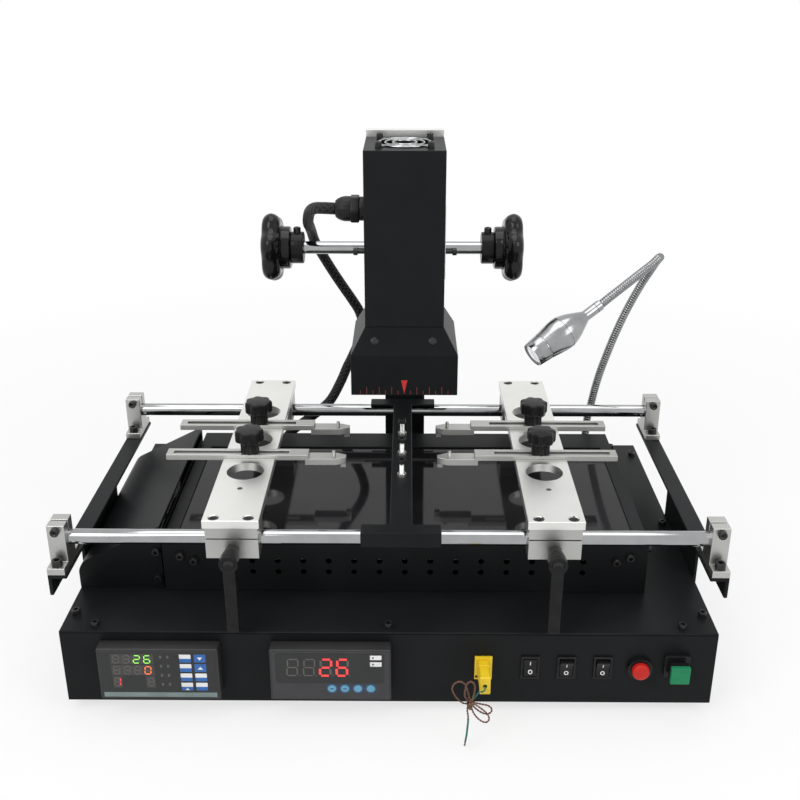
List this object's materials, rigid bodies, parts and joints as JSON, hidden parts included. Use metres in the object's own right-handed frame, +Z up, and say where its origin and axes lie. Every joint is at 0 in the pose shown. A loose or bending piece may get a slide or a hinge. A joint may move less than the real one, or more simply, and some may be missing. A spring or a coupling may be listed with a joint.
{
  "type": "bga rework station",
  "caption": "Bench rework station: heated base with a glass preheater, sliding board clamp on rods, lifting infrared head on a column, flexible lamp and control panel.",
  "frame": {"origin": "on the bench, under the middle of the object's box", "axes": "+X to the operator's right, +Y to the back, +Z up"},
  "size_m": [0.528, 0.3913, 0.434],
  "materials": {
    "black_paint": "semi-matt black powder coat",
    "hood_paint": "semi-matt black heat-proof paint",
    "foot_rubber": "matt moulded rubber",
    "black_steel": "black oxide steel",
    "dark_glass": "dark polished ceramic glass",
    "heater_ceramic": "unglazed heater ceramic",
    "bare_aluminium": "fine satin machined aluminium",
    "polished_rod": "hard chrome ground rod",
    "tooth_steel": "milled steel",
    "gland_nylon": "black nylon",
    "braided_sleeve": "black braided polyester sleeve",
    "panel_plastic": "fine-textured black plastic",
    "switch_plastic": "gloss black plastic",
    "wheel_plastic": "polished black phenolic",
    "knob_plastic": "satin black plastic",
    "socket_yellow": "yellow thermoplastic",
    "stop_red": "red plastic",
    "start_green": "green plastic",
    "wire_insulation": "brown and green insulated pair",
    "relay_case": "ivory plastic",
    "neck_steel": "bright spiral-wound steel",
    "lamp_aluminium": "turned and polished aluminium",
    "lens_diffuser": "clear lens over white diodes"
  },
  "bodies": {
    "base": {"base_chassis": "black_paint", "top_plate": "black_paint", "rubber_feet": "foot_rubber", "cap_screws": "black_steel", "preheater_housing": "black_paint", "ceramic_glass": "dark_glass", "heater_plates": "heater_ceramic", "blower_cover": "black_paint", "blower_mount": "bare_aluminium", "side_frames": "black_paint", "rod_supports": "bare_aluminium", "guide_rods": "polished_rod", "column": "black_paint", "rack": "tooth_steel", "base_gland": "gland_nylon", "temperature_controllers": "panel_plastic", "switch_bezels": "switch_plastic", "thermocouple_socket": "socket_yellow", "mains_inlet": "panel_plastic", "solid_state_relays": "relay_case", "lamp_base": "neck_steel", "head_cable": "braided_sleeve", "thermocouple_plug": "socket_yellow", "thermocouple_wire": "wire_insulation"},
    "blower": {"blower_rotor": "bare_aluminium"},
    "beam": {"centre_beam": "black_paint", "support_pins": "black_steel"},
    "head": {"head_slider": "bare_aluminium", "head_housing": "black_paint", "hood": "hood_paint", "top_heater": "heater_ceramic", "head_fan": "panel_plastic", "head_gland": "gland_nylon"},
    "head_fan_wheel": {"fan_rotor": "panel_plastic"},
    "lift": {"lift_shaft": "polished_rod", "handwheels": "wheel_plastic"},
    "left_clamp": {"left_carriage": "bare_aluminium", "left_clamp_blocks": "bare_aluminium"},
    "right_clamp": {"right_carriage": "bare_aluminium", "right_clamp_blocks": "bare_aluminium"},
    "left_lever": {"left_lever": "knob_plastic"},
    "right_lever": {"right_lever": "knob_plastic"},
    "lamp_stem": {"gooseneck_lower": "neck_steel"},
    "lamp_arm": {"gooseneck_upper": "neck_steel", "lamp_head": "lamp_aluminium", "lamp_lens": "lens_diffuser"},
    "light_rocker": {"light_rocker": "switch_plastic"},
    "fan_rocker": {"fan_rocker": "switch_plastic"},
    "cooling_rocker": {"cooling_rocker": "switch_plastic"},
    "stop_button": {"stop_button": "stop_red"},
    "start_button": {"start_button": "start_green"},
    "left_front_finger": {"left_front_finger": "bare_aluminium"},
    "left_front_knob": {"left_front_knob": "knob_plastic"},
    "left_rear_finger": {"left_rear_finger": "bare_aluminium"},
    "left_rear_knob": {"left_rear_knob": "knob_plastic"},
    "right_front_finger": {"right_front_finger": "bare_aluminium"},
    "right_front_knob": {"right_front_knob": "knob_plastic"},
    "right_rear_finger": {"right_rear_finger": "bare_aluminium"},
    "right_rear_knob": {"right_rear_knob": "knob_plastic"}
  },
  "joints": [
    {"name": "head_lift", "type": "slide", "parent": "base", "child": "head", "axis": [0, 0, 1], "range_m": [-0.04, 0.05], "deforming": ["head_cable"]},
    {"name": "lift_turn", "type": "hinge", "parent": "head", "child": "lift", "pos_m": [0, 0.1175, 0.313], "axis": [1, 0, 0], "range_deg": [-287, 230]},
    {"name": "head_fan_spin", "type": "hinge", "parent": "head", "child": "head_fan_wheel", "pos_m": [0.012, 0.0095, 0.417], "axis": [0, 0, 1], "continuous": true},
    {"name": "blower_spin", "type": "hinge", "parent": "base", "child": "blower", "pos_m": [-0.21698, -0.0065, 0.099], "axis": [0, 1, 0], "continuous": true},
    {"name": "beam_slide", "type": "slide", "parent": "base", "child": "beam", "axis": [1, 0, 0], "range_m": [-0.02, 0.02]},
    {"name": "left_clamp_slide", "type": "slide", "parent": "base", "child": "left_clamp", "axis": [1, 0, 0], "range_m": [-0.09, 0.02]},
    {"name": "right_clamp_slide", "type": "slide", "parent": "base", "child": "right_clamp", "axis": [1, 0, 0], "range_m": [-0.02, 0.09]},
    {"name": "left_lever_turn", "type": "hinge", "parent": "left_clamp", "child": "left_lever", "pos_m": [-0.1205, -0.1565, 0.145], "axis": [0, 1, 0], "range_deg": [-90, 90]},
    {"name": "left_front_finger_slide", "type": "slide", "parent": "left_clamp", "child": "left_front_finger", "axis": [1, 0, 0], "range_m": [-0.025, 0.015]},
    {"name": "left_front_knob_turn", "type": "hinge", "parent": "left_clamp", "child": "left_front_knob", "pos_m": [-0.1205, -0.04375, 0.182], "axis": [0, 0, 1], "continuous": true},
    {"name": "left_rear_finger_slide", "type": "slide", "parent": "left_clamp", "child": "left_rear_finger", "axis": [1, 0, 0], "range_m": [-0.025, 0.015]},
    {"name": "left_rear_knob_turn", "type": "hinge", "parent": "left_clamp", "child": "left_rear_knob", "pos_m": [-0.1205, 0.01775, 0.182], "axis": [0, 0, 1], "continuous": true},
    {"name": "right_lever_turn", "type": "hinge", "parent": "right_clamp", "child": "right_lever", "pos_m": [0.129, -0.1565, 0.145], "axis": [0, 1, 0], "range_deg": [-90, 90]},
    {"name": "right_front_finger_slide", "type": "slide", "parent": "right_clamp", "child": "right_front_finger", "axis": [1, 0, 0], "range_m": [-0.009, 0.031]},
    {"name": "right_front_knob_turn", "type": "hinge", "parent": "right_clamp", "child": "right_front_knob", "pos_m": [0.129, -0.04375, 0.182], "axis": [0, 0, 1], "continuous": true},
    {"name": "right_rear_finger_slide", "type": "slide", "parent": "right_clamp", "child": "right_rear_finger", "axis": [1, 0, 0], "range_m": [-0.009, 0.031]},
    {"name": "right_rear_knob_turn", "type": "hinge", "parent": "right_clamp", "child": "right_rear_knob", "pos_m": [0.129, 0.01775, 0.182], "axis": [0, 0, 1], "continuous": true},
    {"name": "light_switch", "type": "hinge", "parent": "base", "child": "light_rocker", "pos_m": [0.1135, -0.1635, 0.045], "axis": [1, 0, 0], "range_deg": [0, 16]},
    {"name": "fan_switch", "type": "hinge", "parent": "base", "child": "fan_rocker", "pos_m": [0.1425, -0.1635, 0.045], "axis": [1, 0, 0], "range_deg": [-16, 0]},
    {"name": "cooling_switch", "type": "hinge", "parent": "base", "child": "cooling_rocker", "pos_m": [0.1715, -0.1635, 0.045], "axis": [1, 0, 0], "range_deg": [-16, 0]},
    {"name": "stop_press", "type": "slide", "parent": "base", "child": "stop_button", "axis": [0, 1, 0], "range_m": [0, 0.003], "stiffness_N_per_m": 400, "springref_m": -0.003},
    {"name": "start_press", "type": "slide", "parent": "base", "child": "start_button", "axis": [0, 1, 0], "range_m": [0, 0.003], "stiffness_N_per_m": 400, "springref_m": -0.003},
    {"name": "lamp_swivel", "type": "hinge", "parent": "base", "child": "lamp_stem", "pos_m": [0.2, 0.1385, 0.097], "axis": [0, 0, 1], "range_deg": [-15, 30]},
    {"name": "lamp_bend", "type": "hinge", "parent": "lamp_stem", "child": "lamp_arm", "pos_m": [0.2504, 0.1145, 0.3004], "axis": [0.7071, -0.7071, 0], "range_deg": [-15, 5]}
  ],
  "couplings": [
    {"joint": "lift_turn", "follows": "head_lift", "rad_per_m": -100}
  ]
}
